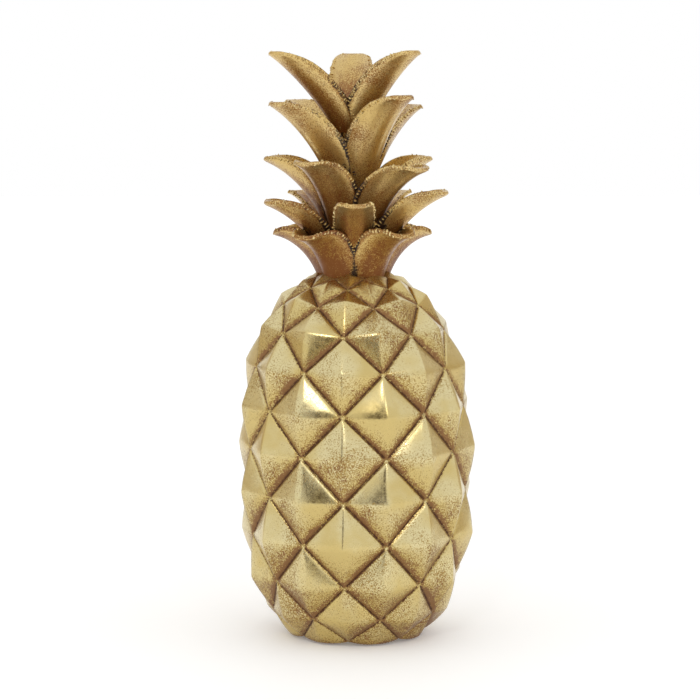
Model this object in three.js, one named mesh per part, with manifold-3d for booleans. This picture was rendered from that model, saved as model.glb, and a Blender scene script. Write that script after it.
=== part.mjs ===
// A cast pineapple ornament: a barrel of raised four-sided eyes under a crown of thick curling leaves.
// Millimetres, +Z up, the front is -Y, and the origin is the centre of the flat underside.
import * as THREE from "three";
import Module from "manifold-3d";

// The barrel, measured at the bottom of the grooves between its eyes
const BARREL_RADIUS = 60.8;
const BELLY_HEIGHT = 96.3;
const UPPER_REACH = 111.4; // from the belly to where the upper curve would close
const LOWER_REACH = 110.5; // from the belly to where the lower curve would close
const BARREL_SQUARENESS = 3; // 2 is an ellipse, more is a fuller barrel
const EYES_AROUND = 8;
const UPPER_EYE_STRETCH = 0.994; // half height of an eye over its half width, above the belly
const LOWER_EYE_STRETCH = 1.03;
const EYE_TURN = -7; // degrees from the front to the middle of an eye in the row just above the belly

// Each eye is a pyramid whose sizes are those at the belly, and smaller eyes shrink in step.
const EYE_RISE = 6.4;
const GROOVE_WIDTH = 2.6;
const GROOVE_LIP = 0.9; // the steep step from the bottom of a groove up to the edge of a facet
const LOW_EYE_RISE = 0.5; // rise of the eyes at the underside over the usual rise
const LOW_EYE_HEIGHT = 35; // the height above which the eyes have their usual rise
const SHOULDER_DEPTH = 40; // how far below the neck the peaks of the eyes begin to shift upwards
const PEAK_SHIFT = 0.35; // the shift at the neck, as a share of the way to the eye's top corner
const LEAN = 0.0165; // how far the casting leans towards -X for each millimetre above its belly

// The neck, where the barrel ends and the crown begins
const NECK_RADIUS = 19;
const STEM_FOOT_RADIUS = 17;
const STEM_TOP_RADIUS = 4;
const STEM_HEIGHT = 82;
const STEM_SINK = 12;
const STEM_SIDES = 16;

// Every leaf has the same family of shape
const LEAF_LENGTH = 75; // of the longest leaves
const LEAF_WIDTH = 28;
const LEAF_THICKNESS = 4.4;
const LEAF_EDGE_THICKNESS = 3;
const LEAF_TIP_WIDTH = 7;
const LEAF_TIP_THINNING = 0.7; // thickness at the tip over thickness at the root
const LEAF_WIDEST_AT = 0.45; // share of the length
const LEAF_CUP = 0.37; // depth of the channel over the width
const CUP_FADE = 7; // the channel runs out at the tip, and later with a larger value
const TIP_FULLNESS = 2.4;
const TIP_ROUNDNESS = 0.5;

// Five rings of leaves, from the neck up. The height is a share of the stem's, and length and width
// are shares of the usual ones. standOff is how far the middle of a root is outside the stem's skin,
// over the leaf's thickness, and rootShare is the width at the root over the full width. Bends are the
// slope of the midrib in degrees above the horizontal. Each leaf has its turn in degrees from the
// front, positive towards +X, its stretch in length, and its lift in degrees added to its slope.
const LEAF_RINGS = [
  {
    height: -0.055, standOff: 0.46, length: 0.533, width: 1.036, rootShare: 0.8,
    rootBend: 72, tipBend: 10, bendDelay: 1.1,
    leaves: [[-39, 0.98, 2], [41, 1, 3], [110, 1, 0], [181, 1, 0], [-107, 1, 0]],
  },
  {
    height: 0.067, standOff: -0.13, length: 0.747, width: 0.8, rootShare: 0.75,
    rootBend: 63, tipBend: 20, bendDelay: 1.1,
    leaves: [[2, 0.94, 0], [68, 1.07, 1], [147, 1, 0], [-143, 1, 0], [-68, 0.94, 0]],
  },
  {
    height: 0.25, standOff: -0.12, length: 0.8, width: 1, rootShare: 0.72,
    rootBend: 69, tipBend: 20, bendDelay: 1.2,
    leaves: [[-37, 0.92, 5], [48, 0.96, -3], [108, 0.95, 4], [178, 1, 3], [-105, 0.99, 1]],
  },
  {
    height: 0.494, standOff: -0.4, length: 1, width: 1, rootShare: 0.65,
    rootBend: 68, tipBend: 27, bendDelay: 1,
    leaves: [[-57, 0.95, 4], [37, 0.98, 7], [130, 0.9, 4], [-142, 0.97, 2]],
  },
  {
    height: 0.86, standOff: -0.82, length: 0.96, width: 0.893, rootShare: 0.62,
    rootBend: 59, tipBend: 34, bendDelay: 1,
    leaves: [[-60, 0.99, 1], [50, 0.97, 3], [178, 0.97, 0]],
  },
];

// How finely the solid is faceted
const CORNERS_PER_MM = 100; // corners closer than a hundredth of a millimetre are one
const PROFILE_STEPS = 2000;
const MIDRIB_STEPS = 200;
const LEAF_STATIONS = [0, 0.18, 0.36, 0.53, 0.68, 0.81, 0.91, 0.97, 1];
const OUTER_FACE_POINTS = [-1, -0.55, 0, 0.55, 1];
const INNER_FACE_POINTS = [0.62, 0, -0.62];

const radians = THREE.MathUtils.degToRad;

// Radius of the barrel at a share of the way from the belly to the closing point of its curve.
function barrelRadius(share) {
  return BARREL_RADIUS * Math.sqrt(Math.max(0, 1 - share ** BARREL_SQUARENESS));
}

// Groove crossings up or down the barrel, one for each half eye from the belly, as radius and height.
// A step between them is the half width of the eye there times its stretch, so eyes stay square.
function crossings(direction, reach, stretch, isLast) {
  const found = [];
  let rows = 0;
  let next = 0.5;
  let before = { radius: BARREL_RADIUS, height: BELLY_HEIGHT };
  for (let i = 1; i <= PROFILE_STEPS; i++) {
    const share = i / PROFILE_STEPS;
    const here = { radius: barrelRadius(share), height: BELLY_HEIGHT + direction * reach * share };
    const halfWidth = (Math.PI / EYES_AROUND) * (here.radius + before.radius) / 2;
    rows += Math.hypot(here.radius - before.radius, here.height - before.height) / (stretch * halfWidth);
    if (rows >= next) {
      found.push(here);
      if (isLast(here)) break;
      next += 1;
    }
    before = here;
  }
  return found;
}

// All rows of crossings from the lowest, which is under the flat base, to the one inside the neck.
function barrelRows() {
  const down = crossings(-1, LOWER_REACH, LOWER_EYE_STRETCH, (row) => row.height < 0);
  const up = crossings(1, UPPER_REACH, UPPER_EYE_STRETCH, (row) => row.radius < NECK_RADIUS);
  return { rows: [...down.reverse(), ...up], firstAboveBelly: down.length };
}

const barrel = barrelRows();
const neckHeight = barrel.rows.at(-1).height;

// A crossing of grooves, or the place under the middle of an eye, as a point in space.
function crossingPoint(row, halfTurns) {
  const { radius, height } = barrel.rows[row];
  const angle = radians(EYE_TURN) + ((halfTurns + barrel.firstAboveBelly) * Math.PI) / EYES_AROUND;
  return new THREE.Vector3(radius * Math.sin(angle), -radius * Math.cos(angle), height);
}

// The outward direction of the barrel under the middle of an eye.
function eyeNormal(row, halfTurns) {
  const low = crossingPoint(Math.max(row - 1, 0), halfTurns);
  const high = crossingPoint(Math.min(row + 1, barrel.rows.length - 1), halfTurns);
  const rise = high.sub(low);
  const around = new THREE.Vector3(-crossingPoint(row, halfTurns).y, crossingPoint(row, halfTurns).x, 0);
  return around.cross(rise).normalize();
}

// Edge of an eye at the belly, and the share of it that half a groove takes up
const BELLY_EYE_EDGE = Math.hypot(1, UPPER_EYE_STRETCH) * (Math.PI / EYES_AROUND) * BARREL_RADIUS;
const GROOVE_SHARE = GROOVE_WIDTH / 2 / BELLY_EYE_EDGE;

// A point on an eye. a and b run from 0 to 1 along its two pairs of edges, from the lowest corner.
function eyePoint(eye, a, b) {
  const { bottom, right, left, top, peak, normal, size } = eye;
  const side = a >= b ? right : left;
  const end = a + b >= 1 ? top : bottom;
  const edge = Math.min(a, b, 1 - a, 1 - b);
  const slope = 2 * edge;
  const endShare = Math.abs(a + b - 1);
  const sideShare = 1 - slope - endShare;
  const point = new THREE.Vector3()
    .addScaledVector(peak, slope)
    .addScaledVector(end, endShare)
    .addScaledVector(side, sideShare);
  const lip = GROOVE_LIP * Math.min(1, edge / GROOVE_SHARE);
  return point.addScaledVector(normal, size * lip);
}

// Everything that eyePoint needs about one eye. The middle of the eye is level with its row.
function eyeAt(row, halfTurns) {
  const last = barrel.rows.length - 1;
  const size = barrel.rows[row].radius / BARREL_RADIUS;
  const normal = eyeNormal(row, halfTurns);
  const middle = crossingPoint(row, halfTurns);
  const flattening = THREE.MathUtils.smoothstep(middle.z, 0, LOW_EYE_HEIGHT);
  const rise = EYE_RISE * THREE.MathUtils.lerp(LOW_EYE_RISE, 1, flattening);
  const top = row < last ? crossingPoint(row + 1, halfTurns) : middle;
  const bottom = row > 0 ? crossingPoint(row - 1, halfTurns) : middle;
  const shift = PEAK_SHIFT * THREE.MathUtils.smoothstep(middle.z, neckHeight - SHOULDER_DEPTH, neckHeight);
  const peak = middle.clone().lerp(top, shift).addScaledVector(normal, size * (rise - GROOVE_LIP));
  return {
    size,
    normal,
    left: crossingPoint(row, halfTurns - 1),
    right: crossingPoint(row, halfTurns + 1),
    top,
    bottom,
    peak,
  };
}

// The closed skin of the barrel as loose triangles. The end rows are half eyes, and a flat fan caps them.
function barrelTriangles() {
  const marks = [0, GROOVE_SHARE, 0.5, 1 - GROOVE_SHARE, 1];
  const cells = marks.length - 1;
  const last = barrel.rows.length - 1;
  const triangles = [];
  const rims = { low: [], high: [] };
  for (let row = 0; row <= last; row++) {
    for (let k = 0; k < EYES_AROUND; k++) {
      const eye = eyeAt(row, 2 * k + (row % 2));
      const grid = marks.map((a) => marks.map((b) => eyePoint(eye, a, b)));
      for (let i = 0; i < cells; i++) {
        for (let j = 0; j < cells; j++) {
          const [p, q, r, s] = [grid[i][j], grid[i + 1][j], grid[i + 1][j + 1], grid[i][j + 1]];
          const onLevel = i + j === cells - 1;
          const below = i + j < cells - 1;
          const lower = onLevel ? [[p, q, s]] : below ? [[p, q, r], [p, r, s]] : [];
          const upper = onLevel ? [[q, r, s]] : below ? [] : [[p, q, r], [p, r, s]];
          if (row > 0) triangles.push(...lower);
          if (row < last) triangles.push(...upper);
        }
      }
      const level = marks.map((_, i) => grid[i][cells - i]);
      if (row === 0) rims.low.push(...level.slice(0, -1));
      if (row === last) rims.high.push(...level.slice(0, -1));
    }
  }
  for (const [rim, turned] of [[rims.low, true], [rims.high, false]]) {
    const middle = rim.reduce((sum, p) => sum.add(p), new THREE.Vector3()).divideScalar(rim.length);
    rim.forEach((p, i) => {
      const q = rim[(i + 1) % rim.length];
      triangles.push(turned ? [middle, q, p] : [middle, p, q]);
    });
  }
  return triangles;
}

// Width of a leaf at a share of its length.
function leafWidth(ring, share) {
  const full = LEAF_WIDTH * ring.width;
  if (share < LEAF_WIDEST_AT) {
    const rise = Math.sin((Math.PI / 2) * (share / LEAF_WIDEST_AT));
    return full * THREE.MathUtils.lerp(ring.rootShare, 1, rise);
  }
  const beyond = (share - LEAF_WIDEST_AT) / (1 - LEAF_WIDEST_AT);
  const narrowing = (1 - beyond ** TIP_FULLNESS) ** TIP_ROUNDNESS;
  return THREE.MathUtils.lerp(LEAF_TIP_WIDTH, full, narrowing);
}

// Midrib of a leaf in its own upright plane, as distance from the stem's axis, height above the neck
// and slope at each station. Its root is seated on the stem.
function leafMidrib(ring, stretch, lift) {
  const step = (LEAF_LENGTH * ring.length * stretch) / MIDRIB_STEPS;
  const stations = [];
  let up = STEM_HEIGHT * ring.height;
  const taper = (up + STEM_SINK) / (STEM_HEIGHT + STEM_SINK);
  const stemRadius = THREE.MathUtils.lerp(STEM_FOOT_RADIUS, STEM_TOP_RADIUS, taper);
  let out = stemRadius + LEAF_THICKNESS * ring.standOff;
  for (let i = 0; i <= MIDRIB_STEPS; i++) {
    const share = i / MIDRIB_STEPS;
    const bend = THREE.MathUtils.lerp(ring.rootBend, ring.tipBend, share ** ring.bendDelay);
    const slope = radians(lift + bend);
    if (share >= LEAF_STATIONS[stations.length]) stations.push({ share, out, up, slope });
    out += step * Math.cos(slope);
    up += step * Math.sin(slope);
  }
  return stations;
}

// A closed leaf as loose triangles, standing at the crown's own origin.
function leafTriangles(ring, [turn, stretch, lift]) {
  const angle = radians(turn);
  const outward = new THREE.Vector3(Math.sin(angle), -Math.cos(angle), 0);
  const sideways = new THREE.Vector3(Math.cos(angle), Math.sin(angle), 0);
  const sections = leafMidrib(ring, stretch, lift).map(({ share, out, up, slope }) => {
    const width = leafWidth(ring, share);
    const depth = LEAF_CUP * width * (1 - share ** CUP_FADE);
    const thinning = THREE.MathUtils.lerp(1, LEAF_TIP_THINNING, share);
    const centre = outward.clone().multiplyScalar(out).setZ(up);
    const back = outward.clone().multiplyScalar(Math.sin(slope)).setZ(-Math.cos(slope));
    const place = (across, face) => {
      const half = thinning * THREE.MathUtils.lerp(LEAF_THICKNESS, LEAF_EDGE_THICKNESS, across ** 2) / 2;
      return centre.clone()
        .addScaledVector(sideways, (across * width) / 2)
        .addScaledVector(back, face * half - depth * across ** 2);
    };
    return [
      ...OUTER_FACE_POINTS.map((across) => place(across, 1)),
      ...INNER_FACE_POINTS.map((across) => place(across, -1)),
    ];
  });
  const around = sections[0].length;
  const triangles = [];
  for (let i = 0; i + 1 < sections.length; i++) {
    for (let j = 0; j < around; j++) {
      const next = (j + 1) % around;
      const [p, q, r, s] = [sections[i][j], sections[i][next], sections[i + 1][next], sections[i + 1][j]];
      triangles.push([p, q, r], [p, r, s]);
    }
  }
  const cap = (section) => THREE.ShapeUtils.triangulateShape(
    section.map((p) => new THREE.Vector2(p.dot(sideways), p.dot(outward) - p.z)), []);
  const root = sections[0];
  const tip = sections.at(-1);
  for (const [a, b, c] of cap(root)) triangles.push([root[a], root[b], root[c]]);
  for (const [a, b, c] of cap(tip)) triangles.push([tip[c], tip[b], tip[a]]);
  return triangles;
}

const wasm = await Module();
wasm.setup();

// Loose triangles to a solid. Corners that round to the same place are the same corner.
function solidFrom(triangles) {
  const corners = new Map();
  const positions = [];
  const indices = [];
  const indexOf = (p) => {
    const key = [p.x, p.y, p.z].map((c) => Math.round(c * CORNERS_PER_MM)).join();
    if (!corners.has(key)) {
      corners.set(key, positions.length / 3);
      positions.push(p.x, p.y, p.z);
    }
    return corners.get(key);
  };
  for (const triangle of triangles) {
    const [a, b, c] = triangle.map(indexOf);
    if (a !== b && b !== c && c !== a) indices.push(a, b, c);
  }
  return new wasm.Manifold(new wasm.Mesh({
    numProp: 3,
    vertProperties: new Float32Array(positions),
    triVerts: new Uint32Array(indices),
  }));
}

// Triangles of an indexed or plain three.js geometry.
function trianglesOf(geometry) {
  const plain = geometry.index ? geometry.toNonIndexed() : geometry;
  const position = plain.getAttribute("position");
  const triangles = [];
  for (let i = 0; i < position.count; i += 3) {
    triangles.push([0, 1, 2].map((k) => new THREE.Vector3().fromBufferAttribute(position, i + k)));
  }
  return triangles;
}

// The stem that the leaves grow from, as a slim cone whose foot is sunk into the barrel.
function stemSolid() {
  const length = STEM_HEIGHT + STEM_SINK;
  const cone = new THREE.CylinderGeometry(STEM_TOP_RADIUS, STEM_FOOT_RADIUS, length, STEM_SIDES)
    .rotateX(Math.PI / 2)
    .translate(0, 0, (STEM_HEIGHT - STEM_SINK) / 2);
  return solidFrom(trianglesOf(cone));
}

// The whole casting as one solid, cut flat underneath and leaning a little above its belly, with the
// middle of its outline on the Z axis. Small pockets shut in between leaf roots are filled.
function casting() {
  const grown = (ring) => ring.leaves.map((leaf) => solidFrom(leafTriangles(ring, leaf)));
  const leaves = LEAF_RINGS.flatMap(grown);
  const crown = wasm.Manifold.union([stemSolid(), ...leaves]).translate([0, 0, neckHeight]);
  const whole = solidFrom(barrelTriangles()).add(crown).trimByPlane([0, 0, 1], 0);
  const bodies = whole.decompose().sort((one, other) => other.volume() - one.volume());
  const leaning = bodies[0].warp((p) => {
    p[0] -= LEAN * Math.max(0, p[2] - BELLY_HEIGHT);
  });
  const { min, max } = leaning.boundingBox();
  return leaning.translate([-(min[0] + max[0]) / 2, -(min[1] + max[1]) / 2, 0]);
}

// A three.js geometry of a solid, flat shaded.
function geometryOf(solid) {
  const mesh = solid.getMesh();
  const geometry = new THREE.BufferGeometry();
  geometry.setAttribute("position", new THREE.BufferAttribute(new Float32Array(mesh.vertProperties), 3));
  geometry.setIndex(new THREE.BufferAttribute(new Uint32Array(mesh.triVerts), 1));
  geometry.computeVertexNormals();
  return geometry;
}

const goldLeaf = new THREE.MeshStandardMaterial({ color: 0xb8964a, roughness: 0.35, metalness: 0.9 });
const pineapple = new THREE.Mesh(geometryOf(casting()), goldLeaf);
pineapple.name = "pineapple";

const group = new THREE.Group();
group.add(pineapple);
export default group;
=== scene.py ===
"""A cast pineapple ornament in aged gold leaf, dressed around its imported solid.

Lengths in the classes are millimetres, and MM turns them into Blender's metres. The front is -Y.
"""
import logging
import math
from collections.abc import Callable
from dataclasses import dataclass
from enum import Enum

import bmesh
import bpy
import numpy as np
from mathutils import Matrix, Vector
from mathutils.bvhtree import BVHTree


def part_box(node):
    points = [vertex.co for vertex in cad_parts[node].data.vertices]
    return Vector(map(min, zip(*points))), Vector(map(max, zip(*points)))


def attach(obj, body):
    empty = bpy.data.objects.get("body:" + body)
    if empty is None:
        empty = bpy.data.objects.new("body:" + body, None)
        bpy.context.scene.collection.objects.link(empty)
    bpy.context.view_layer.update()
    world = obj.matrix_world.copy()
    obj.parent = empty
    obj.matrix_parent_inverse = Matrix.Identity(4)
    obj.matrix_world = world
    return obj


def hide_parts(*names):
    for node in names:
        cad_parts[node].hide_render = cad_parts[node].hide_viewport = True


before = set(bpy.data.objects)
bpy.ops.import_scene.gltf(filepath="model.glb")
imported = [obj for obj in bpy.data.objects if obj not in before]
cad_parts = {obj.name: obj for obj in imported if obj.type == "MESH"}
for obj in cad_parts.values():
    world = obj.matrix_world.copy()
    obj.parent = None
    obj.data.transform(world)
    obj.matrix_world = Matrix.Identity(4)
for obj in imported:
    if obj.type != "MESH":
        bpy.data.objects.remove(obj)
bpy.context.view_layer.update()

MM = 0.001
NODE = "pineapple"
BODY = "root"

Socket = bpy.types.NodeSocket
Pair = tuple[float, float]
Triple = tuple[float, float, float]

logging.basicConfig(level=logging.INFO, format="%(message)s")
log = logging.getLogger("pineapple")


class NodeSheet:
    """Lays out the nodes of one tree, and gives each node's result back as a socket."""

    def __init__(self, tree: bpy.types.NodeTree) -> None:
        """Takes the node tree that the nodes are added to."""
        self.tree = tree

    def add(self, kind: str, settings: dict | None = None, feeds: dict | None = None) -> bpy.types.Node:
        """Adds one node.

        Args:
            kind: The node's type name.
            settings: Properties to set on the node.
            feeds: Input name or index to a socket, which is linked, or a plain value, which is set.

        Returns:
            The new node.
        """
        node = self.tree.nodes.new(kind)
        for name, value in (settings or {}).items():
            setattr(node, name, value)
        for name, value in (feeds or {}).items():
            self.feed(node.inputs[name], value)
        return node

    def feed(self, socket: Socket, value) -> None:
        """Links a socket to another, or sets its plain value."""
        if isinstance(value, Socket):
            self.tree.links.new(value, socket)
        else:
            socket.default_value = value

    def math(self, operation: str, *values, clamp: bool = False) -> Socket:
        """A math node's result for one, two or three values."""
        settings = {"operation": operation, "use_clamp": clamp}
        return self.add("ShaderNodeMath", settings, dict(enumerate(values))).outputs[0]

    def vector(self, operation: str, *values) -> Socket:
        """A vector math node's vector result."""
        settings = {"operation": operation}
        return self.add("ShaderNodeVectorMath", settings, dict(enumerate(values))).outputs[0]

    def scaled(self, vector, factor) -> Socket:
        """A vector times a number."""
        feeds = {"Vector": vector, "Scale": factor}
        return self.add("ShaderNodeVectorMath", {"operation": "SCALE"}, feeds).outputs[0]

    def ramp(self, value, low: float, high: float, start: float = 0.0, end: float = 1.0) -> Socket:
        """Maps low..high to start..end, easing in and out, and stays level beyond both."""
        feeds = {"Value": value, "From Min": low, "From Max": high, "To Min": start, "To Max": end}
        return self.add("ShaderNodeMapRange", {"interpolation_type": "SMOOTHSTEP"}, feeds).outputs[0]

    def noise(self, place, scale: float, detail: float, roughness: float) -> Socket:
        """A noise texture's value, around one half."""
        feeds = {"Vector": place, "Scale": scale, "Detail": detail, "Roughness": roughness}
        return self.add("ShaderNodeTexNoise", None, feeds).outputs[0]

    def blend(self, share, first, second) -> Socket:
        """A mix of two colours by a share from 0 to 1."""
        # Its inputs 6 and 7 and its output 2 are the ones for colours.
        node = self.add("ShaderNodeMix", {"data_type": "RGBA"})
        self.feed(node.inputs[0], share)
        self.feed(node.inputs[6], first)
        self.feed(node.inputs[7], second)
        return node.outputs[2]

    def times(self, first, second) -> Socket:
        """The product of two numbers."""
        return self.math("MULTIPLY", first, second)

    def minus(self, first, second, clamp: bool = False) -> Socket:
        """The first number less the second."""
        return self.math("SUBTRACT", first, second, clamp=clamp)

    def sum_of(self, first, factor, rest) -> Socket:
        """The first number times the factor, plus the rest."""
        return self.math("MULTIPLY_ADD", first, factor, rest)

    def read(self, name: str, kind: str = "FLOAT_VECTOR") -> Socket:
        """A named attribute's value in a geometry tree."""
        node = self.add("GeometryNodeInputNamedAttribute", {"data_type": kind}, {"Name": name})
        return node.outputs["Attribute"]

    def keep(self, geometry, name: str, value) -> Socket:
        """Stores a number on each point of a geometry."""
        feeds = {"Geometry": geometry, "Name": name, "Value": value}
        settings = {"data_type": "FLOAT", "domain": "POINT"}
        return self.add("GeometryNodeStoreNamedAttribute", settings, feeds).outputs[0]

    def end_with(self, geometry, finish) -> None:
        """Ends a geometry tree with a geometry, shaded smooth and with the finish given."""
        smooth = self.add("GeometryNodeSetShadeSmooth", None, {"Geometry": geometry}).outputs[0]
        dressed = self.add("GeometryNodeSetMaterial", None, {"Geometry": smooth, "Material": finish})
        self.add("NodeGroupOutput", None, {"Geometry": dressed.outputs[0]})


class Face(Enum):
    """The two sides of a leaf."""

    OUTER = 1
    INNER = -1


@dataclass(frozen=True)
class GiltFinish:
    """Metal leaf that is rubbed back over a brown toner, which stays in grooves and hollows, out of reach
    of rubbing.

    It reads two attributes of the mesh. One is 1 at the bottom of grooves and hollows and 0 in the open,
    and turns the colour near black there: dark toner in the barrel's grooves and along the leaf rims, and
    painted shade in the crown's crevices, at the roots of its low leaves and at the barrel's neck. The
    other says how much toner is left, as fine flecks and patches, with painted shade added at the barrel's
    neck, near the ground and at the roots of the low leaves. A noise is given as its waves to the metre,
    its detail and its roughness. The fields with a value are the same for all finishes.
    """

    name: str
    bright: Triple
    deep: Triple
    fleck: Triple
    patina: Triple
    toner_and_shade_black: Triple
    # Near-black colour: dark toner in grooves and along rims, painted shade in the crown's crevices.
    metallic: float
    toned_metallic: float
    roughness: float
    fleck_scale: float
    fleck_spread: float
    cloudy: float
    softness: float
    speckle: float
    streak: float
    grain: float
    coat: float
    clouds: Triple = (38.0, 3.0, 0.55)
    rags: Triple = (380.0, 5.0, 0.7)
    scuffs: Triple = (700.0, 4.0, 0.7)
    brushing: Triple = (420.0, 3.0, 0.6)
    brush_stretch: float = 0.25
    raggedness: float = 1.7
    fleck_limit: float = 0.75
    fleck_level: float = 0.65
    fleck_blur: float = 0.06
    patch_share: float = 0.75
    patch_level: float = 0.68
    patch_blur: float = 0.17
    toner_and_shade_black_levels: Pair = (0.66, 0.88)
    shine_levels: Pair = (0.27, 0.6)
    polish_levels: Pair = (0.3, 0.7)
    relief_depth: float = 0.0003

    def around(self, level: float, blur: float) -> Pair:
        """Where a cover of toner starts and where it is full, on either side of its level."""
        return level - blur * self.softness, level + blur * self.softness

    def build(self) -> bpy.types.Material:
        """Builds the material, which is placed by Object coordinates."""
        material = bpy.data.materials.new(self.name)
        material.use_nodes = True
        tree = material.node_tree
        tree.nodes.clear()
        sheet = NodeSheet(tree)
        place = sheet.add("ShaderNodeTexCoord").outputs["Object"]
        shelter = sheet.add("ShaderNodeAttribute", {"attribute_name": "sheltered"}).outputs["Fac"]
        toned = sheet.add("ShaderNodeAttribute", {"attribute_name": "toned"}).outputs["Fac"]

        cloud = sheet.noise(place, *self.clouds)
        drawn = sheet.vector("MULTIPLY", place, (1.0, 1.0, self.streak))
        patch = sheet.noise(drawn, *self.rags)
        fine = sheet.noise(place, self.fleck_scale, 2.0, 0.7)
        wear = sheet.sum_of(sheet.minus(cloud, 0.5), self.cloudy, toned)
        ragged = sheet.sum_of(sheet.minus(patch, 0.5), self.raggedness, sheet.times(
            sheet.minus(fine, 0.5), self.speckle))

        flecked = sheet.sum_of(sheet.math("MINIMUM", wear, self.fleck_limit), self.fleck_spread, fine)
        flecks = sheet.ramp(flecked, *self.around(self.fleck_level, self.fleck_blur))
        patched = sheet.sum_of(wear, self.patch_share, ragged)
        patches = sheet.ramp(patched, *self.around(self.patch_level, self.patch_blur))
        # Near black where the mesh is marked dark: dark toner in grooves, painted shade in hollows and
        # under the crown.
        dark = sheet.ramp(sheet.sum_of(ragged, 0.4, shelter), *self.toner_and_shade_black_levels)

        shine = sheet.sum_of(toned, -0.3, cloud)
        leaf = sheet.blend(sheet.ramp(shine, *self.shine_levels), (*self.deep, 1.0), (*self.bright, 1.0))
        flecked_leaf = sheet.blend(flecks, leaf, (*self.fleck, 1.0))
        patched_leaf = sheet.blend(patches, flecked_leaf, (*self.patina, 1.0))
        colour = sheet.blend(dark, patched_leaf, (*self.toner_and_shade_black, 1.0))

        thin_cover = sheet.times(flecks, 0.45)
        cover = sheet.math("MAXIMUM", sheet.math("MAXIMUM", thin_cover, patches), dark)
        scuff = sheet.noise(place, *self.scuffs)
        stretched = sheet.vector("MULTIPLY", place, (1.0, 1.0, self.brush_stretch))
        brushed = sheet.noise(stretched, *self.brushing)
        height = sheet.sum_of(scuff, 0.5, sheet.sum_of(brushed, 0.35, sheet.times(cover, -0.35)))
        bump = sheet.add("ShaderNodeBump", None, {
            "Strength": self.grain, "Distance": self.relief_depth, "Height": height})
        polish = sheet.ramp(patch, *self.polish_levels, self.roughness - 0.05, self.roughness + 0.07)
        gloss = sheet.sum_of(cover, self.toned_metallic - self.metallic, self.metallic)
        shader = sheet.add("ShaderNodeBsdfPrincipled", None, {
            "Base Color": colour,
            "Metallic": gloss,
            "Roughness": sheet.sum_of(cover, 0.2, polish),
            "Specular IOR Level": 0.3,
            "Coat Weight": self.coat,
            "Coat Roughness": 0.22,
            "Normal": bump.outputs[0],
        })
        sheet.add("ShaderNodeOutputMaterial", None, {"Surface": shader.outputs[0]})
        return material


BARREL_GILT = GiltFinish(
    "barrel_gilt", bright=(0.69, 0.60, 0.335), deep=(0.60, 0.465, 0.185), fleck=(0.38, 0.25, 0.072),
    patina=(0.235, 0.115, 0.040), toner_and_shade_black=(0.09, 0.034, 0.013), metallic=1.0, toned_metallic=0.45,
    roughness=0.21, fleck_scale=1500.0, fleck_spread=0.29, cloudy=2.4, softness=1.0,
    speckle=2.1, streak=1.0, grain=0.2, coat=0.0)
CROWN_GILT = GiltFinish(
    "crown_gilt", bright=(0.80, 0.64, 0.31), deep=(0.66, 0.47, 0.17), fleck=(0.35, 0.172, 0.040),
    patina=(0.205, 0.066, 0.011), toner_and_shade_black=(0.030, 0.012, 0.005), metallic=0.88, toned_metallic=0.28,
    roughness=0.31, fleck_scale=1600.0, fleck_spread=0.38, cloudy=1.8, softness=1.6,
    speckle=1.7, streak=0.5, grain=0.4, coat=0.28)
RIB_GILT = GiltFinish(
    "rib_gilt", bright=(0.80, 0.66, 0.34), deep=(0.64, 0.46, 0.17), fleck=(0.30, 0.15, 0.04),
    patina=(0.21, 0.085, 0.022), toner_and_shade_black=(0.035, 0.014, 0.006), metallic=0.95, toned_metallic=0.45,
    roughness=0.3, fleck_scale=1250.0, fleck_spread=0.4, cloudy=1.8, softness=1.5,
    speckle=2.1, streak=1.0, grain=0.4, coat=0.1)


def added(name: str, data: bpy.types.ID) -> bpy.types.Object:
    """Makes an object that holds the given data, and links it to the scene."""
    thing = bpy.data.objects.new(name, data)
    bpy.context.scene.collection.objects.link(thing)
    return thing


def mesh_object(name: str, points: np.ndarray, faces: list, edges: list | tuple = ()) -> bpy.types.Object:
    """Makes an object from points in millimetres, faces and loose edges, and links it to the scene."""
    mesh = bpy.data.meshes.new(name)
    mesh.from_pydata((np.asarray(points) * MM).tolist(), edges, faces)
    mesh.update()
    return added(name, mesh)


def store(mesh: bpy.types.Mesh, **marks: np.ndarray | list) -> None:
    """Stores attributes on a mesh.

    Args:
        mesh: The mesh.
        marks: Name of each new attribute to its rows, one for each vertex, of one or three numbers.
    """
    for name, values in marks.items():
        flat = np.asarray(values, np.float32)
        kind, key = ("FLOAT", "value") if flat.ndim == 1 else ("FLOAT_VECTOR", "vector")
        mesh.attributes.new(name, kind, "POINT").data.foreach_set(key, flat.ravel())


def taken(mesh: bpy.types.Mesh, *names: str) -> list[np.ndarray]:
    """Reads attributes of one number off a mesh, and removes them from it."""
    found = [np.empty(len(mesh.vertices)) for _ in names]
    for name, values in zip(names, found):
        mesh.attributes[name].data.foreach_get("value", values)
        mesh.attributes.remove(mesh.attributes[name])
    return found


def spots(mesh: bpy.types.Mesh) -> np.ndarray:
    """Where the vertices of a mesh are, in metres."""
    values = np.empty(len(mesh.vertices) * 3)
    mesh.vertices.foreach_get("co", values)
    return values.reshape(-1, 3)


def move_to(mesh: bpy.types.Mesh, points: np.ndarray) -> None:
    """Moves the vertices of a mesh to new places, in metres."""
    mesh.vertices.foreach_set("co", points.ravel())
    mesh.update()


def rising(values: np.ndarray, low: float, width: float) -> np.ndarray:
    """From 0 at low to 1 at a width beyond it, and level outside."""
    return np.clip((values - low) / width, 0.0, 1.0)


def fading(values: np.ndarray, width: float) -> np.ndarray:
    """From 1 at 0 to 0 at the width, and level outside."""
    return np.clip(1.0 - values / width, 0.0, 1.0)


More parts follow.
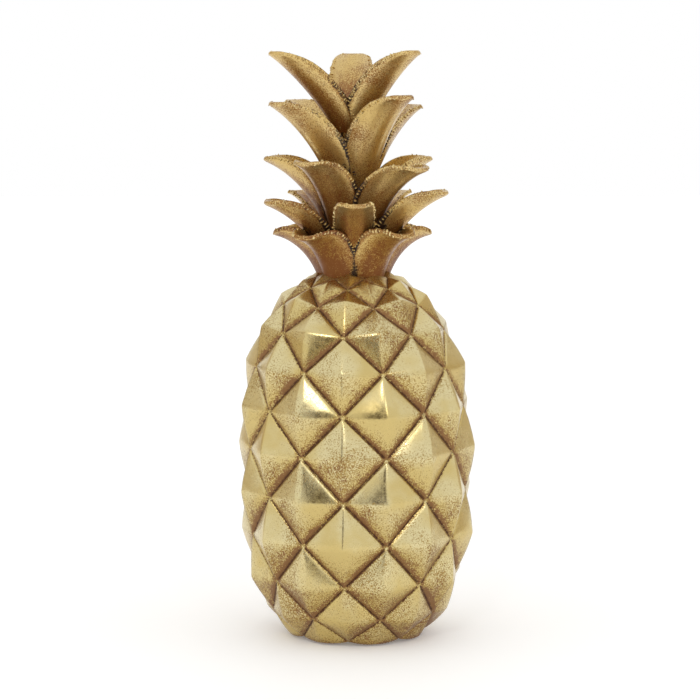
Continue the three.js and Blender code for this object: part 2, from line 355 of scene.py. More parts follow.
def grown(thing: bpy.types.Object, tree: bpy.types.NodeTree, inputs: dict) -> bpy.types.Object:
    """Runs a geometry tree on an object, and keeps its result as the object's plain mesh.

    Args:
        thing: The object that holds the tree's input.
        tree: The geometry tree.
        inputs: Name of each tree input to its value.

    Returns:
        The same object, with the result as its mesh and no modifier left.
    """
    modifier = thing.modifiers.new("growth", "NODES")
    modifier.node_group = tree
    keys = {item.name: item.identifier for item in tree.interface.items_tree if item.in_out == "INPUT"}
    for name, value in inputs.items():
        modifier[keys[name]] = value
    graph = bpy.context.evaluated_depsgraph_get()
    mesh = bpy.data.meshes.new_from_object(thing.evaluated_get(graph))
    thing.modifiers.remove(modifier)
    mesh.name = thing.name
    thing.data = mesh
    return thing


def eased(value: float, low: float, high: float) -> float:
    """How far a value is on the way from low to high, from 0 to 1, easing in and out."""
    share = min(1.0, max(0.0, (value - low) / (high - low)))
    return share * share * (3 - 2 * share)


def tree_with(name: str, numbers: tuple[str, ...], count: str) -> tuple[NodeSheet, bpy.types.NodeOutputs]:
    """Starts a geometry tree with named inputs, of which the last is its material, "Finish".

    Args:
        name: The tree's name.
        numbers: Names of the inputs that are plain numbers.
        count: Name of the input that is a whole number.

    Returns:
        The sheet for the tree, and the sockets that give its inputs.
    """
    tree = bpy.data.node_groups.new(name, "GeometryNodeTree")
    kinds = {"Geometry": "Geometry"} | dict.fromkeys(numbers, "Float")
    for label, kind in (kinds | {count: "Int", "Finish": "Material"}).items():
        tree.interface.new_socket(name=label, in_out="INPUT", socket_type="NodeSocket" + kind)
    tree.interface.new_socket(name="Geometry", in_out="OUTPUT", socket_type="NodeSocketGeometry")
    sheet = NodeSheet(tree)
    return sheet, sheet.add("NodeGroupInput").outputs


@dataclass
class Casting:
    """Sizes that the barrel and the crown share."""

    belly_height: float = 96.3
    lean: float = 0.0165

    def leaned(self, points: np.ndarray) -> np.ndarray:
        """Points in millimetres, leaned towards -X above the belly."""
        moved = points.copy()
        moved[:, 0] -= self.lean * np.maximum(0.0, points[:, 2] - self.belly_height)
        return moved


@dataclass
class Barrel(Casting):
    """The barrel of raised four-sided eyes, one grid for each eye on a square lattice."""

    radius: float = 60.8
    upper_reach: float = 111.4
    lower_reach: float = 110.5
    squareness: float = 3.0
    eyes_around: int = 8
    upper_stretch: float = 0.994
    lower_stretch: float = 1.03
    eye_turn: float = -7.0
    neck_radius: float = 19.0
    eye_rise: float = 6.4
    groove_width: float = 2.6
    groove_lip: float = 0.9
    low_eye_rise: float = 0.5
    low_eye_height: float = 35.0
    shoulder_depth: float = 40.0
    peak_shift: float = 0.35
    swell: float = 0.7
    low_swell: float = 2.0
    ridge_rounding: float = 0.05
    peak_rounding: float = 0.1
    unevenness: float = 0.7
    uneven_noise: Triple = (55.0, 3.0, 0.55)
    uneven_middle: float = 0.55
    sole_height: float = 1.6
    sole_bend: float = 1.5
    sole_radius: float = 14.0
    cells: int = 26
    cell_crowding: float = 0.7
    seam: float = 0.01
    steps: int = 4000

    def crossings(self, direction: int, reach: float, stretch: float,
                  past_end: Callable[[float, float], bool]) -> list[Pair]:
        """Groove crossings up or down the barrel, one for each half eye from the belly.

        Below, the curve levels out and runs on under the casting, so the lowest eyes are its feet.

        Args:
            direction: 1 for upwards, -1 for downwards.
            reach: From the belly to where the curve would close.
            stretch: Half height of an eye over its half width.
            past_end: Test of radius and height that is true for the last row of the solid.

        Returns:
            Radius and height of each crossing, with one more row than the solid has.
        """
        share = np.linspace(0.0, 1.0, self.steps + 1)
        radius = self.radius * np.sqrt(np.maximum(0.0, 1.0 - share ** self.squareness))
        height = self.sole_height + self.sole_bend * np.logaddexp(
            0.0, (self.belly_height + direction * reach * share - self.sole_height) / self.sole_bend)
        half_width = math.pi / self.eyes_around * (radius[1:] + radius[:-1]) / 2
        step = np.hypot(np.diff(radius), np.diff(height))
        rows = np.concatenate([[0.0], np.cumsum(step / (stretch * half_width))])

        def place(count: int) -> Pair:
            """Radius and height of a crossing, by how many come before it."""
            return tuple(float(np.interp(count + 0.5, rows, values)) for values in (radius, height))

        found = [place(0)]
        while not past_end(*found[-1]):
            found.append(place(len(found)))
        return [*found, place(len(found))]

    def rows(self) -> tuple[list[Pair], int]:
        """All rows of crossings from the lowest, and how many of them are below the belly."""
        down = self.crossings(-1, self.lower_reach, self.lower_stretch, lambda r, z: r < self.sole_radius)
        up = self.crossings(1, self.upper_reach, self.upper_stretch, lambda r, z: r < self.neck_radius)
        return down[::-1] + up, len(down)

    def lattice(self) -> bpy.types.Object:
        """A point for each eye, carrying its corners, its outward direction and its sizes."""
        rows, first = self.rows()
        half_turn = math.pi / self.eyes_around

        def crossing(row: int, turn: float) -> np.ndarray:
            """A crossing of grooves, or the place under the middle of an eye."""
            radius, height = rows[row]
            return np.array([radius * math.sin(turn), -radius * math.cos(turn), height])

        named = {key: [] for key in ("bottom", "right", "top", "left", "middle", "outward")}
        sizes, rises, swells = [], [], []
        neck = rows[-2][1]
        for row in range(1, len(rows) - 1):
            for k in range(self.eyes_around):
                turn = math.radians(self.eye_turn) + (2 * k + (row - first) % 2) * half_turn
                middle = crossing(row, turn)
                bottom, top = crossing(row - 1, turn), crossing(row + 1, turn)
                outward = np.cross([-middle[1], middle[0], 0.0], top - bottom)
                named["bottom"].append(bottom)
                named["top"].append(top)
                named["right"].append(crossing(row, turn + half_turn))
                named["left"].append(crossing(row, turn - half_turn))
                shift = self.peak_shift * eased(middle[2], neck - self.shoulder_depth, neck)
                named["middle"].append(middle + shift * (top - middle))
                named["outward"].append(outward / np.linalg.norm(outward))
                sizes.append(rows[row][0] / self.radius)
                usual = eased(middle[2], 0.0, self.low_eye_height)
                rises.append(self.low_eye_rise + (1 - self.low_eye_rise) * usual)
                swells.append(self.low_swell + (1 - self.low_swell) * usual)
        thing = mesh_object("pineapple_barrel", np.array(named["middle"]), [])
        for key, values in named.items():
            store(thing.data, **{key: np.array(values) * (1.0 if key == "outward" else MM)})
        store(thing.data, eye_size=sizes, eye_rise=rises, eye_swell=swells)
        return thing

    def relief_tree(self) -> bpy.types.NodeTree:
        """The tree that lays a grid on each eye and raises it to a pyramid with grooves around it."""
        numbers = ("Rise", "Groove Lip", "Groove Share", "Swell", "Unevenness")
        sheet, size = tree_with("eye_relief", numbers, "Cells")
        read = sheet.read
        marks = sheet.math("ADD", size["Cells"], 1)
        grid = sheet.add("GeometryNodeMeshGrid", None, {
            "Size X": 1.0, "Size Y": 1.0, "Vertices X": marks, "Vertices Y": marks}).outputs["Mesh"]
        position = sheet.add("GeometryNodeInputPosition").outputs[0]
        spot = sheet.add("ShaderNodeSeparateXYZ", None, {0: position})
        waves = 4 * math.pi     # cells are smaller next to the grooves and the ridges
        for axis, name in ((0, "across"), (1, "up")):
            even = sheet.math("ADD", spot.outputs[axis], 0.5)
            wave = sheet.math("SINE", sheet.times(even, waves))
            grid = sheet.keep(grid, name, sheet.sum_of(wave, -self.cell_crowding / waves, even))
        points = sheet.add("GeometryNodeMeshToPoints", None, {"Mesh": size["Geometry"]}).outputs[0]
        placed = sheet.add("GeometryNodeInstanceOnPoints", None, {"Points": points, "Instance": grid})
        real = sheet.add("GeometryNodeRealizeInstances", None, {"Geometry": placed.outputs[0]}).outputs[0]

        a, b = read("across", "FLOAT"), read("up", "FLOAT")
        a_left, b_left = sheet.minus(1.0, a), sheet.minus(1.0, b)
        edge = sheet.math("MINIMUM", sheet.math("MINIMUM", a, b), sheet.math("MINIMUM", a_left, b_left))
        slope = sheet.times(edge, 2.0)
        upward = sheet.minus(sheet.math("ADD", a, b), 1.0)
        end_share = sheet.math("ABSOLUTE", upward)
        side_share = sheet.minus(sheet.minus(1.0, slope), end_share)

        def either(test, low: str, high: str) -> Socket:
            """The second named corner where the test is above 0, and otherwise the first."""
            feeds = {"Switch": sheet.math("GREATER_THAN", test, 0.0),
                     "False": read(low), "True": read(high)}
            return sheet.add("GeometryNodeSwitch", {"input_type": "VECTOR"}, feeds).outputs[0]

        side = either(sheet.minus(a, b), "left", "right")
        end = either(upward, "bottom", "top")
        flat = sheet.vector("ADD", sheet.scaled(read("middle"), slope), sheet.vector(
            "ADD", sheet.scaled(end, end_share), sheet.scaled(side, side_share)))

        low_pair = sheet.math("SMOOTH_MIN", a, b, self.ridge_rounding)
        high_pair = sheet.math("SMOOTH_MIN", a_left, b_left, self.ridge_rounding)
        nearest = sheet.math("SMOOTH_MIN", low_pair, high_pair, self.peak_rounding)
        soft = sheet.math("MAXIMUM", sheet.times(nearest, 2.0), 0.0)
        hump = sheet.times(soft, sheet.minus(1.0, soft))
        rise = sheet.minus(sheet.times(size["Rise"], read("eye_rise", "FLOAT")), size["Groove Lip"])
        bank = sheet.minus(1.0, sheet.math("DIVIDE", edge, size["Groove Share"]), clamp=True)
        lip = sheet.times(size["Groove Lip"], sheet.minus(1.0, sheet.math("POWER", bank, 2.0)))
        swell = sheet.times(size["Swell"], sheet.times(read("eye_swell", "FLOAT"), 4.0))
        body = sheet.sum_of(rise, soft, sheet.times(swell, hump))
        wander = sheet.minus(sheet.noise(flat, *self.uneven_noise), self.uneven_middle)
        rough = sheet.times(wander, sheet.times(size["Unevenness"], sheet.minus(1.0, bank)))
        height = sheet.math("ADD", sheet.math("ADD", body, lip), rough)
        out = sheet.scaled(read("outward"), sheet.times(height, read("eye_size", "FLOAT")))
        raised = sheet.add("GeometryNodeSetPosition", None, {
            "Geometry": real, "Position": sheet.vector("ADD", flat, out)}).outputs[0]
        raised = sheet.keep(sheet.keep(raised, "slope", slope), "upward", upward)
        raised = sheet.keep(raised, "corner", sheet.math("MAXIMUM", end_share, side_share))
        for name in ("bottom", "right", "top", "left", "middle", "outward", "across", "up"):
            feeds = {"Geometry": raised, "Name": name}
            raised = sheet.add("GeometryNodeRemoveAttribute", None, feeds).outputs[0]
        merged = sheet.add("GeometryNodeMergeByDistance", None, {
            "Geometry": raised, "Distance": self.seam * MM}).outputs[0]
        sheet.end_with(merged, size["Finish"])
        return sheet.tree

    def build(self) -> bpy.types.Object:
        """Grows the eyes, cuts the underside flat, closes it and marks where toner gathers."""
        belly_edge = math.hypot(1.0, self.upper_stretch) * math.pi / self.eyes_around * self.radius
        thing = grown(self.lattice(), self.relief_tree(), {
            "Rise": self.eye_rise * MM,
            "Groove Lip": self.groove_lip * MM,
            "Groove Share": self.groove_width / 2 / belly_edge,
            "Swell": self.swell * MM,
            "Unevenness": self.unevenness * MM,
            "Cells": self.cells,
            "Finish": BARREL_GILT.build(),
        })
        self.close(thing.data)
        self.age(thing.data)
        return thing

    def close(self, mesh: bpy.types.Mesh) -> None:
        """Cuts the mesh at the ground, closes both ends and leans it."""
        shape = bmesh.new()
        shape.from_mesh(mesh)
        parts = shape.verts[:] + shape.edges[:] + shape.faces[:]
        bmesh.ops.bisect_plane(shape, geom=parts, dist=1e-7, plane_co=(0, 0, 0), plane_no=(0, 0, 1),
                               clear_inner=True)
        bmesh.ops.holes_fill(shape, edges=[edge for edge in shape.edges if edge.is_boundary], sides=0)
        shape.to_mesh(mesh)
        shape.free()
        move_to(mesh, self.leaned(spots(mesh) / MM) * MM)

    def age(self, mesh: bpy.types.Mesh) -> None:
        """Stores how dark the grooves are with toner and how much toner is left, with painted shade at the
        neck under the crown and near the ground.
        """
        names = ("slope", "upward", "corner", "eye_size", "eye_rise", "eye_swell")
        slope, upward, corner, *_ = taken(mesh, *names)
        height = spots(mesh)[:, 2] / MM
        groove = fading(slope, 0.1)
        lower = np.clip(0.5 - 4.0 * upward, 0.0, 1.0)
        bank = np.clip(1.3 * (1.0 - slope / (0.055 + 0.15 * lower)), 0.0, 1.0)
        near = fading(slope, 0.7) ** 1.5
        rubbed = rising(corner, 0.93, 0.05)
        # The neck term is painted shade under the crown. The sole term is painted shade where the barrel
        # meets the floor, on top of heavier toner there. The foot term darkens the barrel towards the
        # bottom.
        foot, sole, neck = fading(height, 60.0), fading(height, 5.0), rising(height, 201.0, 6.0)
        sheltered = groove * (1.0 - 0.5 * rubbed) + 0.6 * neck ** 2
        toned = (0.75 * bank * (1.0 - rubbed) + (0.15 + 0.3 * lower) * near
                 + 0.25 * lower + 0.42 * foot + 0.7 * sole + 0.7 * neck)
        store(mesh, sheltered=np.clip(sheltered, 0.0, 1.0), toned=np.clip(toned, 0.0, 1.3))


@dataclass(frozen=True)
class Leaf:
    """One leaf's turn from the front in degrees, its stretch in length and its lift in degrees."""

    turn: float
    stretch: float
    lift: float


@dataclass(frozen=True)
class LeafRing:
    """A ring of leaves, in shares of the crown's sizes. Bends are degrees above the horizontal."""

    height: float
    stand_off: float
    length: float
    width: float
    root_share: float
    root_bend: float
    tip_bend: float
    bend_delay: float
    toner: float
    leaves: tuple[Leaf, ...]


def ring_of(sizes: tuple[float, ...], *leaves: Triple) -> LeafRing:
    """A ring from its nine numbers, in LeafRing's order, and its leaves' turn, stretch and lift."""
    return LeafRing(*sizes, leaves=tuple(Leaf(*leaf) for leaf in leaves))


RINGS = (
    ring_of((-0.055, 0.46, 0.533, 1.036, 0.8, 72, 10, 1.1, 1.4),
            (-39, 0.98, 2), (41, 1, 3), (110, 1, 0), (181, 1, 0), (-107, 1, 0)),
    ring_of((0.067, -0.13, 0.747, 0.8, 0.75, 63, 20, 1.1, 0.97),
            (2, 0.94, 0), (68, 1.07, 1), (147, 1, 0), (-143, 1, 0), (-68, 0.94, 0)),
    ring_of((0.25, -0.12, 0.8, 1, 0.72, 69, 20, 1.2, 0.9),
            (-37, 0.92, 5), (48, 0.96, -3), (108, 0.95, 4), (178, 1, 3), (-105, 0.99, 1)),
    ring_of((0.494, -0.4, 1, 1, 0.65, 68, 27, 1, 0.45),
            (-57, 0.95, 4), (37, 0.98, 7), (130, 0.9, 4), (-142, 0.97, 2)),
    ring_of((0.86, -0.82, 0.96, 0.893, 0.62, 59, 34, 1, 0.8),
            (-60, 0.99, 1), (50, 0.97, 3), (178, 0.97, 0)),
)


@dataclass
class Crown(Casting):
    """The crown: a slim stem with rings of thick channelled leaves, edged with a comb of small ribs."""

    neck_height: float = 205.5
    stem_foot: float = 17.0
    stem_top: float = 4.0
    stem_height: float = 82.0
    stem_sink: float = 12.0
    leaf_length: float = 75.0
    leaf_width: float = 28.0
    thickness: float = 4.4
    edge_thickness: float = 3.0
    tip_width: float = 7.0
    tip_thinning: float = 0.7
    widest_at: float = 0.45
    cup: float = 0.37
    cup_fade: float = 7.0
    tip_fullness: float = 2.4
    tip_roundness: float = 0.5
    rim_rise: float = 0.25
    stations: int = 44
    across: int = 20
    rib_pitch: float = 2.1
    rib_radius: float = 0.55
    rib_reach: float = 2.4
    rib_wrap: float = 3.3
    rib_place: float = 0.95
    rib_nudge: float = 0.35
    rib_swing: float = 0.25
    rib_sizes: Pair = (0.65, 1.25)
    rib_seed: int = 11
    comb_reach: Pair = (0.12, 0.95)
    comb_tip: float = 0.028
    right_side_lightening: float = 0.33
    root_reach: float = 0.55        # share of a leaf's length that is darker at its root
    ray_seed: int = 7
    ray_count: int = 12
    ray_start: float = 0.0004       # metres, as is the reach
    ray_reach: float = 0.03

    def low(self, level: np.ndarray) -> np.ndarray:
        """How low in the crown a ring counts as, from 1 down to 0."""
        return np.clip(1.5 - 1.4 * level, 0.0, 1.0)

    def width(self, ring: LeafRing, shares: np.ndarray) -> np.ndarray:
        """Width of a leaf at shares of its length. Its tip is rounded off."""
        full = self.leaf_width * ring.width
        rise = np.sin(np.pi / 2 * np.minimum(1.0, shares / self.widest_at))
        growing = full * (ring.root_share + (1 - ring.root_share) * rise)
        beyond = rising(shares, self.widest_at, 1 - self.widest_at)
        narrowing = (1 - beyond ** self.tip_fullness) ** self.tip_roundness
        falling = self.tip_width + (full - self.tip_width) * narrowing
        rounding = np.sqrt(1 - 0.92 * rising(shares, 0.95, 0.05) ** 2.5)
        return np.where(shares < self.widest_at, growing, falling) * rounding

    def midrib(self, ring: LeafRing, leaf: Leaf, shares: np.ndarray) -> tuple[np.ndarray, ...]:
        """Distance from the stem's axis, height above the neck and slope of a leaf's midrib.

        Args:
            ring: The ring that the leaf belongs to.
            leaf: The leaf.
            shares: Places along the leaf, from 0 at its root to 1 at its tip.

        Returns:
            Distance, height and slope in radians at each place.
        """
        fine = np.linspace(0.0, 1.0, 401)
        bend = ring.root_bend + (ring.tip_bend - ring.root_bend) * fine ** ring.bend_delay
        slope = np.radians(leaf.lift + bend)
        step = self.leaf_length * ring.length * leaf.stretch / (len(fine) - 1)
        root = self.stem_height * ring.height
        taper = (root + self.stem_sink) / (self.stem_height + self.stem_sink)
        seat = self.stem_foot + (self.stem_top - self.stem_foot) * taper + self.thickness * ring.stand_off
        out = seat + np.concatenate([[0.0], np.cumsum(np.cos(slope[:-1]) * step)])
        up = root + np.concatenate([[0.0], np.cumsum(np.sin(slope[:-1]) * step)])
        return tuple(np.interp(shares, fine, values) for values in (out, up, slope))

    def axes(self, ring: LeafRing, leaf: Leaf, shares: np.ndarray) -> tuple[np.ndarray, ...]:
        """Middle, sideways direction and outer-face direction at places along a leaf."""
        turn = math.radians(leaf.turn)
        outward = np.array([math.sin(turn), -math.cos(turn), 0.0])
        sideways = np.array([math.cos(turn), math.sin(turn), 0.0])
        out, up, slope = self.midrib(ring, leaf, shares)
        centre = np.outer(out, outward)
        centre[:, 2] = self.neck_height + up
        back = np.outer(np.sin(slope), outward)
        back[:, 2] = -np.cos(slope)
        return centre, sideways, back

    def depth(self, width: np.ndarray, shares: np.ndarray) -> np.ndarray:
        """Depth of a leaf's channel at shares of its length."""
        return self.cup * width * (1 - shares ** self.cup_fade)

    def skin(self, ring: LeafRing, leaf: Leaf, shares: np.ndarray, places: np.ndarray,
             face: Face) -> np.ndarray:
        """Points on one face of a leaf.

        Args:
            ring: The ring that the leaf belongs to.
            leaf: The leaf.
            shares: Places along the leaf, from 0 at its root to 1 at its tip.
            places: Places across the leaf, from -1 to 1.
            face: Which face.

        Returns:
            An array of points, along by across by three, in millimetres.
        """
        centre, sideways, back = self.axes(ring, leaf, shares)
        width = self.width(ring, shares)
        thinning = 1 + (self.tip_thinning - 1) * shares
        closing = np.sqrt(np.clip(1 - rising(shares, 0.96, 0.04) ** 2, 0.0009, 1))
        u = places[None, :]
        half = (self.thickness + (self.edge_thickness - self.thickness) * u ** 2) / 2
        half = half * np.sqrt(np.clip(1 - np.abs(u) ** 12, 0, 1)) * (thinning * closing)[:, None]
        rim = self.rim_rise * np.exp(-((np.abs(u) - 0.9) / 0.07) ** 2) * closing[:, None]
        lift = face.value * (half + rim) - self.depth(width, shares)[:, None] * u ** 2
        return (centre[:, None, :] + sideways * (u * width[:, None] / 2)[..., None]
                + back[:, None, :] * lift[..., None])

    def leaf_mesh(self, ring: LeafRing, leaf: Leaf) -> tuple[np.ndarray, list, np.ndarray, np.ndarray]:
        """One closed leaf.

        Args:
            ring: The ring that the leaf belongs to.
            leaf: The leaf.

        Returns:
            Its points, its faces, and for each point its place along and how near an edge it is.
        """
        shares = 1 - (1 - np.linspace(0.0, 1.0, self.stations)) ** 1.4
        outer = np.sin(np.linspace(-np.pi / 2, np.pi / 2, self.across))
        inner = outer[-2:0:-1]
        rows = np.concatenate([self.skin(ring, leaf, shares, outer, Face.OUTER),
                               self.skin(ring, leaf, shares, inner, Face.INNER)], axis=1)
        around = rows.shape[1]
        faces = []
        for i in range(self.stations - 1):
            for j in range(around):
                k = (j + 1) % around
                faces.append((i * around + j, i * around + k, (i + 1) * around + k, (i + 1) * around + j))
        last = (self.stations - 1) * around
        faces.append(tuple(range(around))[::-1])
        faces.append(tuple(range(last, last + around)))
        along = np.repeat(shares, around)
        edge = np.tile(np.abs(np.concatenate([outer, inner])), self.stations)
        return rows.reshape(-1, 3), faces, along, edge

    def stem_mesh(self) -> tuple[np.ndarray, list]:
        """The slim stem that the leaves grow from, as a closed cone."""
        sides = 32
        levels = ((-self.stem_sink, self.stem_foot), (self.stem_height, self.stem_top))
        turns = np.linspace(0, 2 * np.pi, sides, endpoint=False)
        points = [(radius * math.cos(t), radius * math.sin(t), self.neck_height + height)
                  for height, radius in levels for t in turns]
        faces = [(i, (i + 1) % sides, sides + (i + 1) % sides, sides + i) for i in range(sides)]
        faces.append(tuple(range(sides))[::-1])
        faces.append(tuple(range(sides, 2 * sides)))
        return np.array(points), faces

    def build(self) -> bpy.types.Object:
        """Joins the stem and the leaves into one mesh with the marks that its finish reads."""
        points, faces = self.stem_mesh()
        count = len(points)
        parts = [points]
        marks = {"along": [np.zeros(count)], "edge": [np.zeros(count)], "toner": [np.ones(count)],
                 "level": [np.zeros(count)]}
        for ring in RINGS:
            for leaf in ring.leaves:
                points, leaf_faces, along, edge = self.leaf_mesh(ring, leaf)
                parts.append(points)
                faces.extend(tuple(count + i for i in face) for face in leaf_faces)
                # Leaves turned towards +X keep less toner, so the crown is lighter on that side.
                worn = self.right_side_lightening * max(0.0, math.sin(math.radians(leaf.turn)))
                marks["along"].append(along)
                marks["edge"].append(edge)
                marks["toner"].append(np.full(len(points), ring.toner - worn))
                marks["level"].append(np.full(len(points), ring.height))
                count += len(points)
        thing = mesh_object("pineapple_crown", self.leaned(np.concatenate(parts)), faces)
        thing.data.polygons.foreach_set("use_smooth", [True] * len(faces))
        thing.data.materials.append(CROWN_GILT.build())
        store(thing.data, **{name: np.concatenate(values) for name, values in marks.items()})
        return thing

    def age(self, thing: bpy.types.Object) -> None:
        """Stores painted shade where rays cast off each point are blocked, dark toner along the rims, and
        how much toner is left there.
        """
        mesh = thing.data
        tree = BVHTree.FromObject(thing, bpy.context.evaluated_depsgraph_get())
        spread = np.random.default_rng(self.ray_seed).normal(size=(self.ray_count, 3))
        spread /= np.linalg.norm(spread, axis=1)[:, None]
        hidden = np.zeros(len(mesh.vertices))
        for i, vertex in enumerate(mesh.vertices):
            normal = np.array(vertex.normal)
            start = vertex.co + vertex.normal * self.ray_start
            blocked = 0.0
            for way in spread:
                hit = tree.ray_cast(start, Vector(way + normal * 1.05), self.ray_reach)
                if hit[0] is not None:
                    blocked += 1.0 - 0.6 * hit[3] / self.ray_reach
            hidden[i] = blocked / len(spread)
        along, edge, toner, level = taken(mesh, "along", "edge", "toner", "level")
        rim = rising(edge, 0.88, 0.06)
        root = fading(along, self.root_reach)
        worn = 0.6 * along ** 1.5 + 0.6 * rising(edge, 0.55, 0.3) * (1 - rim)
        # Painted shade: darker where rays cast off a point are blocked by nearby parts.
        deep = 0.75 * rising(hidden, 0.48, 0.4)
        # Painted shade along the edges at the roots of the low leaves, next to the stem.
        flank = rising(edge, 0.55, 0.35) * root * self.low(level)
        sheltered = deep + (0.78 - 0.15 * along) * rim + 1.25 * flank
        toned = toner + 0.3 * hidden + 0.3 * root - worn
        store(mesh, sheltered=np.clip(sheltered, 0.0, 1.0), toned=np.clip(toned, 0.3, 1.5))

    def rim_line(self, ring: LeafRing, leaf: Leaf) -> tuple[np.ndarray, ...]:
        """The line around a leaf's rim, up one edge, over the tip and down the other.

        Args:
            ring: The ring that the leaf belongs to.
            leaf: The leaf.

        Returns:
            Its points, the way out of the leaf, the way its outer face looks, and the share of the
            leaf's length there.
        """
        side = np.linspace(*self.comb_reach, 30)
        turn = np.linspace(0.0, np.pi, 9)[1:-1]
        shares = np.concatenate([side, self.comb_reach[1] + self.comb_tip * np.sin(turn), side[::-1]])
        across = self.rib_place * np.concatenate([np.ones(len(side)), np.cos(turn), -np.ones(len(side))])
        forward = np.concatenate([np.zeros(len(side)), np.sin(turn), np.zeros(len(side))])[:, None]
        centre, sideways, back = self.axes(ring, leaf, shares)
        width = self.width(ring, shares)
        depth = self.depth(width, shares)
        line = centre + sideways * (across * width / 2)[:, None] - back * (depth * across ** 2)[:, None]
        rise = np.arctan2(2 * depth * across, width / 2)[:, None]
        outward = sideways * np.cos(rise) - back * np.sin(rise)
        normal = back * np.cos(rise) + sideways * np.sin(rise)
        along = np.cross(np.broadcast_to(sideways, back.shape), back)
        way = outward * (across / self.rib_place)[:, None] + along * forward
        return line, way, normal, shares

    def edge_lines(self) -> bpy.types.Object:
        """The rims of all leaves as lines that carry the way out of the leaf and its thickness."""
        points, edges = [], []
        marks = {name: [] for name in ("way", "facing", "along", "level")}
        for ring in RINGS:
            for leaf in ring.leaves:
                line, way, normal, shares = self.rim_line(ring, leaf)
                edges.extend((len(points) + i, len(points) + i + 1) for i in range(len(line) - 1))
                points.extend(line)
                for values, more in zip(marks.values(), (way, normal, shares, [ring.height] * len(line))):
                    values.extend(more)
        thing = mesh_object("pineapple_leaf_ribs", self.leaned(np.array(points)), [], edges)
        store(thing.data, rib_size=1 + (self.tip_thinning - 1) * np.array(marks["along"]), **marks)
        return thing

    def ribs_tree(self) -> bpy.types.NodeTree:
        """The tree that wraps a small rib over the edge at even steps along each line."""
        sheet, size = tree_with("leaf_ribs", ("Pitch", "Radius", "Reach", "Wrap", "Nudge"), "Seed")
        curve = sheet.add("GeometryNodeMeshToCurve", None, {"Mesh": size["Geometry"]}).outputs[0]
        even = sheet.add("GeometryNodeResampleCurve", {"mode": "LENGTH"}, {"Curve": curve})
        sheet.feed(even.inputs["Length"], size["Pitch"])

        def chance(low: float, high: float, step: int) -> Socket:
            """Three random numbers from low to high for each rib."""
            seed = sheet.math("ADD", size["Seed"], float(step))
            feeds = {"Min": (low,) * 3, "Max": (high,) * 3, "Seed": seed}
            return sheet.add("FunctionNodeRandomValue", {"data_type": "FLOAT_VECTOR"}, feeds).outputs[0]

        offset = sheet.scaled(chance(-1.0, 1.0, 1), size["Nudge"])
        nudged = sheet.add("GeometryNodeSetPosition", None, {"Geometry": even.outputs[0], "Offset": offset})
        bead = sheet.add("GeometryNodeMeshUVSphere", None, {
            "Segments": 8, "Rings": 5, "Radius": size["Radius"]})
        turned = sheet.add("FunctionNodeAxesToRotation", {"primary_axis": "X", "secondary_axis": "Z"}, {
            "Primary Axis": sheet.read("way"), "Secondary Axis": sheet.read("facing")}).outputs[0]
        swing = sheet.add("FunctionNodeEulerToRotation", None, {
            "Euler": chance(-self.rib_swing, self.rib_swing, 2)}).outputs[0]
        swung = sheet.add("FunctionNodeRotateRotation", {"rotation_space": "LOCAL"}, {
            "Rotation": turned, "Rotate By": swing}).outputs[0]
        long = sheet.add("ShaderNodeCombineXYZ", None, {0: size["Reach"], 1: 1.0, 2: size["Wrap"]})
        thinned = sheet.scaled(long.outputs[0], sheet.read("rib_size", "FLOAT"))
        scale = sheet.vector("MULTIPLY", thinned, chance(*self.rib_sizes, 3))
        placed = sheet.add("GeometryNodeInstanceOnPoints", None, {
            "Points": nudged.outputs[0], "Instance": bead.outputs["Mesh"],
            "Rotation": swung, "Scale": scale})
        real = sheet.add("GeometryNodeRealizeInstances", None, {"Geometry": placed.outputs[0]}).outputs[0]
        sheet.end_with(real, size["Finish"])
        return sheet.tree

    def ribs(self) -> bpy.types.Object:
        """Grows the ribs along all leaf edges, and stores their toner and painted shade, both heavier at
        the roots of the low leaves.
        """
        thing = grown(self.edge_lines(), self.ribs_tree(), {
            "Pitch": self.rib_pitch * MM,
            "Radius": self.rib_radius * MM,
            "Reach": self.rib_reach,
            "Wrap": self.rib_wrap,
            "Nudge": self.rib_nudge * MM,
            "Seed": self.rib_seed,
            "Finish": RIB_GILT.build(),
        })
        mesh = thing.data
        along, level = taken(mesh, "along", "level")
        # Painted shade, with more toner, at the roots of the low leaves next to the stem.
        root = fading(along, self.root_reach) * self.low(level)
        store(mesh, sheltered=np.clip(0.16 + 1.3 * root, 0.0, 0.92), toned=0.15 + 0.85 * root)
        for name in ("way", "facing", "rib_size"):
            if name in mesh.attributes:
                mesh.attributes.remove(mesh.attributes[name])
        return thing


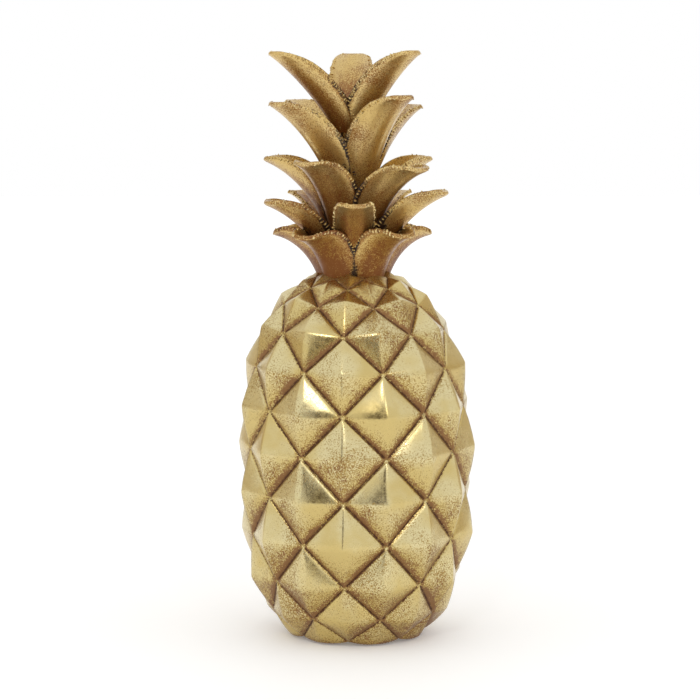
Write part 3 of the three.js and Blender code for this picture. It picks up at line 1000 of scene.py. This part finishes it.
@dataclass
class Studio:
    """A pale floor, soft lights and a camera at the photo's viewing angle."""

    camera_place: Triple = (-3.6, -1508.0, 340.7)
    camera_tip: float = 83.22
    lens: float = 138.96
    sensor: float = 36.0
    floor_half: float = 4000.0
    floor_glow: float = 0.17
    lit_point: Triple = (0.0, 0.0, 0.16)

    def camera(self) -> None:
        """Adds the camera."""
        data = bpy.data.cameras.new("camera")
        data.lens = self.lens
        data.sensor_width = self.sensor
        thing = added("camera", data)
        thing.location = Vector(self.camera_place) * MM
        thing.rotation_euler = (math.radians(self.camera_tip), 0, 0)
        bpy.context.scene.camera = thing

    def panel(self, name: str, place: Triple, width: float, height: float, power: float) -> None:
        """Adds a soft light that faces the middle of the object.

        Args:
            name: The light's name.
            place: Where it stands, in metres.
            width: Its width in metres.
            height: Its height in metres.
            power: Its power in watts.
        """
        data = bpy.data.lights.new(name, "AREA")
        data.shape = "RECTANGLE"
        data.size = width
        data.size_y = height
        data.energy = power
        thing = added(name, data)
        thing.location = place
        way = Vector(self.lit_point) - Vector(place)
        thing.rotation_euler = way.to_track_quat("-Z", "Y").to_euler()

    def matt(self, thing: bpy.types.Object, shade: Triple, roughness: float) -> bpy.types.Node:
        """Gives an object of the studio a plain matt material, and returns its shader."""
        material = bpy.data.materials.new(thing.name)
        material.use_nodes = True
        shader = material.node_tree.nodes["Principled BSDF"]
        shader.inputs["Base Color"].default_value = (*shade, 1.0)
        shader.inputs["Roughness"].default_value = roughness
        thing.data.materials.append(material)
        return shader

    def floor(self) -> None:
        """Adds the floor, which glows a little, as a lit white sweep does."""
        far = self.floor_half
        corners = [(-far, -far, 0), (far, -far, 0), (far, far, 0), (-far, far, 0)]
        thing = mesh_object("studio_floor", np.array(corners), [(0, 1, 2, 3)])
        shader = self.matt(thing, (0.92, 0.92, 0.92), 0.7)
        shader.inputs["Emission Color"].default_value = (1.0, 1.0, 1.0, 1.0)
        shader.inputs["Emission Strength"].default_value = self.floor_glow

    def flag(self, name: str, profile: tuple[Pair, ...], reach: Pair, shade: Triple) -> None:
        """Adds a curved card around the object, so that the metal has something darker to mirror.

        Args:
            name: The card's name.
            profile: Distance from the object and height of the card's bends, in millimetres.
            reach: Where it starts and ends, in degrees from the camera's side.
            shade: Its colour.
        """
        turns = np.radians(np.linspace(*reach, 25))
        points = [(far * math.sin(t), -far * math.cos(t), height)
                  for far, height in profile for t in turns]
        count = len(turns)
        faces = [(row * count + i, row * count + i + 1, (row + 1) * count + i + 1, (row + 1) * count + i)
                 for row in range(len(profile) - 1) for i in range(count - 1)]
        thing = mesh_object(name, np.array(points), faces)
        self.matt(thing, shade, 0.9)
        thing.visible_camera = False

    def sky(self) -> None:
        """Sets a white, even surround."""
        world = bpy.data.worlds.new("studio")
        world.use_nodes = True
        world.node_tree.nodes["Background"].inputs["Color"].default_value = (1.0, 1.0, 1.0, 1.0)
        world.node_tree.nodes["Background"].inputs["Strength"].default_value = 1.0
        bpy.context.scene.world = world
        bpy.context.scene.view_settings.view_transform = "Standard"

    def build(self) -> None:
        """Adds everything around the object."""
        self.camera()
        self.floor()
        self.flag("studio_flag", ((800, 1), (2200, 1), (2200, 1400)), (-17.0, -4.0), (0.06, 0.032, 0.010))
        for side in (-1, 1):
            self.flag(f"studio_side_{side}", ((1600, 0), (1600, 1200)), (95.0 * side, 150.0 * side),
                      (0.72, 0.64, 0.52))
        self.sky()
        self.panel("key_left", (-0.27, -1.41, 1.31), 0.19, 0.21, 2.1)
        self.panel("key_right", (0.42, -1.46, 0.92), 0.16, 0.16, 0.9)


def centred(things: list[bpy.types.Object], measured: bpy.types.Object) -> None:
    """Moves the meshes together, so that one of them is in the middle of the solid's outline.

    Args:
        things: The objects to move.
        measured: The one that is centred.
    """
    low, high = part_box(NODE)
    points = spots(measured.data)
    middle = (points.min(axis=0) + points.max(axis=0)) / 2
    move = ((low.x + high.x) / 2 - middle[0], (low.y + high.y) / 2 - middle[1])
    for thing in things:
        points = spots(thing.data)
        points[:, :2] += move
        move_to(thing.data, points)


def main() -> None:
    """Builds the studio and every piece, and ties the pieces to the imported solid."""
    Studio().build()
    barrel = Barrel().build()
    crown = Crown()
    leaves = crown.build()
    ribs = crown.ribs()
    centred([barrel, leaves, ribs], barrel)
    crown.age(leaves)
    for piece in (barrel, leaves, ribs):
        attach(piece, BODY)
        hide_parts(NODE)
        triangles = sum(len(face.vertices) - 2 for face in piece.data.polygons)
        log.info("%s: %d triangles", piece.name, triangles)


if __name__ == "__main__":
    main()
